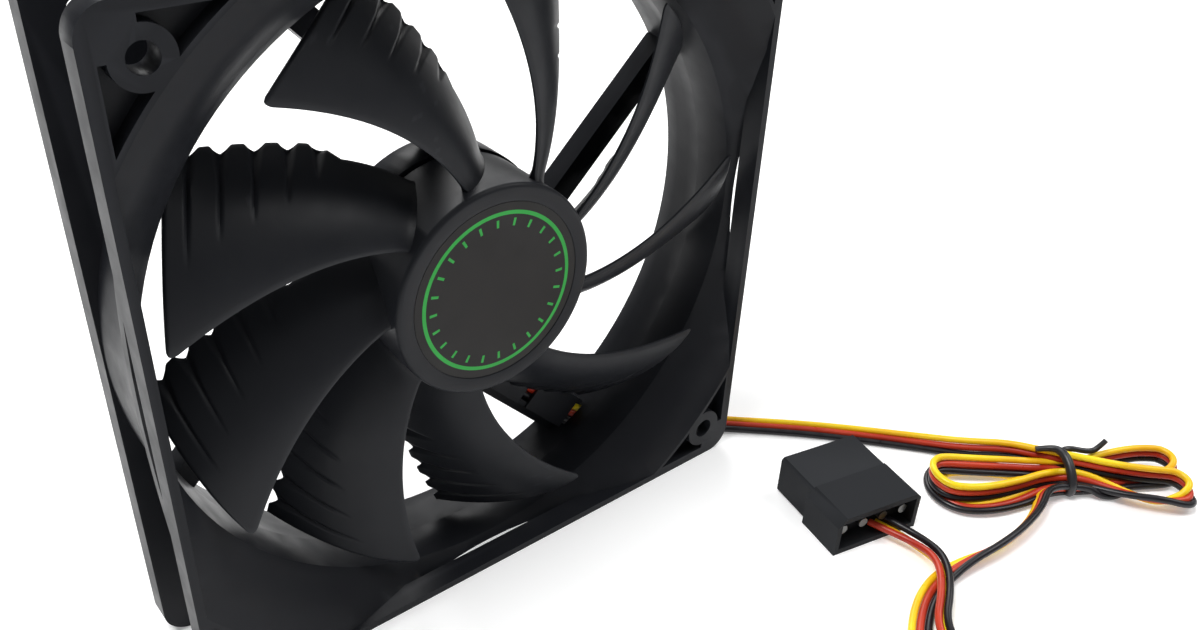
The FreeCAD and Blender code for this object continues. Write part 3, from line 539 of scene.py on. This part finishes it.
# From the turn at the front, the wires lie in a loose bunch and go over the ribbon to the plug.
PLUG_ROUTES = {
    "yellow": [
        (50.4, -89.5, FLOOR),
        (50.5, -81.7, 0.95),
        (53.5, -76.4, 1.6),
        (58.9, -73.3, 2.5),
        (63.4, -69.8, 2.85),
        (66.4, -65.8, 1.8),
        (67.0, -61.4, 1.3),
        (66.6, -57.2, 1.6),
        (64.9, -51.4, 2.1),
    ],
    "red": [
        (48.8, -89.5, FLOOR),
        (49.1, -81.9, 1.2),
        (52.3, -76.2, 2.6),
        (57.8, -73.0, 3.7),
        (62.4, -69.4, 4.1),
        (65.3, -65.6, 3.5),
        (66.1, -61.4, 2.6),
        (65.4, -57.4, 2.4),
        (63.4, -51.0, 2.6),
    ],
    "black": [
        (49.2, -90.7, 2.2),
        (50.9, -81.9, 2.4),
        (53.7, -77.2, 3.0),
        (59.2, -74.0, 3.9),
        (63.9, -70.2, 4.2),
        (66.9, -66.2, 3.8),
        (67.7, -61.5, 3.3),
        (67.4, -57.4, 3.1),
        (66.3, -51.3, 3.2),
    ],
}

# In the hank's own frame, X runs along it, to the right, and Y goes to its far side.
HANK_PLACE = Matrix.Translation((110.0, -67.3, 0)) @ Matrix.Rotation(
    math.radians(-36.2), 4, "Z"
)
# Each lobe: its side and reach, then where its two passes lie across the hank, their height and
# their roll. Across has four values: at the tie, in the middle, and the same on the way back.
# Height and roll have a fifth, for the turn at the end.
LOBES = [
    (1, 25.8, (1.4, -2.1, -8.9, -0.8), (4.7, 4.3, 3.2, 2.6, 2.3), (88, 90, 96, 240, 150)),
    (-1, 30.0, (-0.8, -7.0, 2.5, 2.2), (2.6, 3.7, 4.4, 3.3, 2.4), (90, 90, 90, 45, 45)),
    (1, 26.2, (2.2, 6.0, -0.8, -2.2), (2.6, 3.6, 3.4, 1.4, 1.0), (75, 90, 100, 172, 175)),
    (-1, 28.9, (-2.2, -8.7, 4.3, 0.8), (1.0, 1.2, 0.9, 1.0, 1.0), (175, 195, 188, 180, 178)),
    (1, 13.0, (2.0, 5.4, -3.8, -3.2), (1.0, 0.85, 0.8, 0.85, 1.4), (178, 180, 180, 185, 228)),
]


# The passes are bundled this far on each side of the tie.
WAIST = 4.0
TURN_POINTS = 6
# The spline keeps inside its points, so a turn's points stand out by this much.
TURN_BULGE = 1.06


def along(share, values):
    """A value at its share of the way round a lobe."""
    place = share * (len(values) - 1)
    index = min(int(place), len(values) - 2)
    return values[index] + (values[index + 1] - values[index]) * (place - index)


def lobe_points(side, reach, across, heights, rolls):
    """A pass out from the tie, the turn at the lobe's end and the pass back."""
    tie_out, middle_out, middle_back, tie_back = across
    radius = abs(middle_out - middle_back) / 2
    centre = (middle_out + middle_back) / 2
    sense = 1 if middle_out > middle_back else -1
    turn = radius * TURN_BULGE
    knee = reach - radius
    shoulder = max(7.5, knee - 4.5)
    halfway = (WAIST + shoulder) / 2
    plan = [
        (WAIST, tie_out, 0.0),
        (halfway, tie_out + (middle_out - tie_out) * 0.62, 0.14),
        (shoulder, middle_out, 0.25),
    ]
    for step in range(TURN_POINTS):
        angle = math.radians(90 - 180 * (step + 0.5) / TURN_POINTS)
        share = 0.36 + 0.28 * step / (TURN_POINTS - 1)
        plan.append((knee + turn * math.cos(angle), centre + sense * turn * math.sin(angle), share))
    plan += [
        (shoulder, middle_back, 0.75),
        (halfway, tie_back + (middle_back - tie_back) * 0.62, 0.86),
        (WAIST, tie_back, 1.0),
    ]
    points = []
    for out, aside, share in plan:
        point = HANK_PLACE @ Vector((side * out, aside, along(share, heights)))
        points.append((*point, along(share, rolls)))
    return points


def lead_route():
    route = list(RUN_ROUTE)
    for lobe in LOBES:
        route += lobe_points(*lobe)
    return route + TAIL_ROUTE


def wire_points(route, side):
    """One wire's points: the ribbon's, moved sideways by its place in the ribbon."""
    places = [Vector(point[:3]) for point in route]
    points = []
    for index, place in enumerate(places):
        before = places[max(index - 1, 0)]
        after = places[min(index + 1, len(places) - 1)]
        ahead = (after - before).normalized()
        level = Vector((0, 0, 1)).cross(ahead).normalized()
        upright = ahead.cross(level)
        roll = math.radians(route[index][3])
        sideways = level * math.cos(roll) + upright * math.sin(roll)
        point = place + sideways * (side * WIRE_PITCH)
        point.z = max(point.z, FLOOR)
        points.append(point)
    return points


def add_spline(name, points, diameter):
    """A round line through the air, with the points as its control points."""
    data = bpy.data.curves.new(name, "CURVE")
    data.dimensions = "3D"
    data.resolution_u = 6
    data.bevel_depth = diameter / 2 * MM
    data.bevel_resolution = 4
    data.use_fill_caps = True
    spline = data.splines.new("NURBS")
    spline.points.add(len(points) - 1)
    for place, point in zip(spline.points, points):
        place.co = (*point, 1.0)
    spline.order_u = 3
    spline.use_endpoint_u = True
    made = bpy.data.objects.new(name, data)
    bpy.context.scene.collection.objects.link(made)
    return made


# Each wire's colour, and the darker colour of its random patches, a painted shade of it.
INSULATION = {
    "yellow": ((0.96, 0.74, 0.015), (0.84, 0.44, 0.008)),
    "red": ((0.56, 0.052, 0.020), (0.38, 0.022, 0.008)),
    "black": ((0.010, 0.009, 0.012), (0.006, 0.005, 0.007)),
}


# The wire tie, in the hank's frame: over the turns, down their near side, under them and up
# again, with its two ends laid along the top. The last value is its thickness, in diameters.
TIE_DIAMETER = 1.3
TIE_ROUTE = [
    (-5.6, 3.9, 6.6, 1.0),
    (-4.4, 3.7, 6.9, 1.0),
    (-2.6, 3.4, 7.3, 1.1),
    (-1.2, 2.4, 7.7, 1.35),
    (-0.5, 0.0, 7.7, 1.6),
    (-0.1, -3.0, 6.0, 1.6),
    (0.0, -5.0, 3.4, 1.6),
    (0.0, -4.8, 1.1, 1.5),
    (0.0, -2.0, 0.9, 1.3),
    (0.0, 2.0, 0.9, 1.3),
    (0.2, 4.6, 1.2, 1.3),
    (0.6, 5.2, 3.6, 1.3),
    (1.4, 4.6, 6.0, 1.1),
    (3.0, 4.1, 6.5, 1.0),
    (5.2, 3.9, 6.1, 1.0),
    (7.2, 3.9, 5.9, 1.0),
    (8.6, 4.1, 6.4, 1.0),
    (10.2, 4.4, 8.6, 0.9),
]


def add_tie():
    points = [HANK_PLACE @ Vector(point[:3]) * MM for point in TIE_ROUTE]
    line = add_spline("tie_line", points, TIE_DIAMETER)
    for place, point in zip(line.data.splines[0].points, TIE_ROUTE):
        place.radius = point[3]
    tie = bpy.data.objects.new("wire_tie", mesh_of(line))
    bpy.data.objects.remove(line)
    bpy.context.scene.collection.objects.link(tie)
    smooth(tie, 60.0)
    paint(tie, plastic("tie_black", (0.010, 0.010, 0.012), 0.38))
    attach(tie, "frame")
    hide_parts("twist_tie")
    return tie


def add_lead():
    tie = add_tie()
    route = lead_route()
    for colour, side in WIRES.items():
        points = wire_points(route, side)
        points += [Vector(point) for point in PLUG_ROUTES[colour]]
        points = [point * MM for point in points]
        wire = add_spline(f"wire_{colour}", points, WIRE_DIAMETER)
        material = wire_insulation(f"wire_{colour}", *INSULATION[colour])
        paint(wire, material)
        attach(wire, "frame")
        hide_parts(f"lead_{colour}_run", f"lead_{colour}_tail", "lead_hank")
        paint(frame["nodes"][f"lead_{colour}"], material)


# The rest keeps its CAD shape and gets its finish.


def soften(node, width):
    """Round a CAD node's sharp edges a little."""
    weld = node.modifiers.new("weld", "WELD")
    weld.merge_threshold = 0.000002
    flat = node.modifiers.new("flat", "DECIMATE")
    flat.decimate_type = "DISSOLVE"
    flat.angle_limit = math.radians(0.05)
    edge = node.modifiers.new("edge", "BEVEL")
    edge.width = width * MM
    edge.segments = 2
    edge.limit_method = "ANGLE"
    edge.angle_limit = math.radians(40)
    edge.harden_normals = True


def finish_nodes():
    nodes = frame["nodes"]
    finishes = {
        "fan_frame": plastic("frame_plastic", (0.0096, 0.0103, 0.0126), 0.38, IOR=1.22),
        "hub_label": label_material("hub_label", True),
        "rear_label": label_material("rear_label", False),
        "rotor_yoke": metal("yoke_steel", (0.55, 0.55, 0.56), 0.3),
        "ring_magnet": plastic("magnet_ferrite", (0.05, 0.045, 0.042), 0.7),
        "shaft_insert": metal("insert_brass", (0.80, 0.62, 0.30), 0.25),
        "shaft": metal("shaft_steel", (0.68, 0.68, 0.70), 0.15),
        "retaining_clip": plastic("clip_nylon", (0.80, 0.79, 0.74), 0.45, 1.05),
        "bearing_tube": metal("tube_brass", (0.78, 0.60, 0.29), 0.25),
        "sleeve_bearing": metal("bearing_bronze", (0.55, 0.36, 0.20), 0.35),
        "oil_washers": plastic("washer_felt", (0.66, 0.62, 0.52), 0.9, 1.1, 0.6),
        "thrust_pad": plastic("pad_nylon", (0.82, 0.81, 0.77), 0.4, 1.05),
        "oil_stopper": plastic("stopper_rubber", (0.02, 0.02, 0.02), 0.7),
        "stator_laminations": metal("core_steel", (0.40, 0.40, 0.43), 0.4),
        "stator_insulator_front": plastic("insulator_front", (0.75, 0.73, 0.66), 0.5, 1.05),
        "stator_insulator_rear": plastic("insulator_rear", (0.75, 0.73, 0.66), 0.5, 1.05),
        "coil_windings": metal("coil_copper", (0.70, 0.30, 0.14), 0.3, (1.0, 60.0, 1.0)),
        "winding_pins": metal("pin_tin", (0.75, 0.75, 0.74), 0.25),
        "circuit_board": plastic("board_green", (0.015, 0.10, 0.03), 0.3, 1.5),
        "driver_chip": plastic("chip_epoxy", (0.02, 0.02, 0.021), 0.55),
        "hall_sensor": plastic("sensor_epoxy", (0.02, 0.02, 0.021), 0.55),
        "capacitor": plastic("capacitor_tan", (0.50, 0.34, 0.15), 0.5, 1.1),
        "resistors": plastic("resistor_black", (0.02, 0.02, 0.022), 0.4),
        "solder_joints": metal("solder", (0.72, 0.72, 0.70), 0.2),
        "connector_housing": plastic(
            "plug_plastic", (0.018, 0.019, 0.021), 0.5, 1.2, 0.12, IOR=1.12
        ),
        # The contacts' tin is painted dark: painted shade for the plug's cavity that they sit in.
        "connector_contacts": metal("contact_tin", (0.16, 0.16, 0.155), 0.3),
    }
    for name, material in finishes.items():
        paint(nodes[name], material)
    soften(nodes["fan_frame"], 0.25)
    soften(nodes["connector_housing"], 0.35)


add_camera()
add_studio()
add_lead()
add_impeller()
finish_nodes()
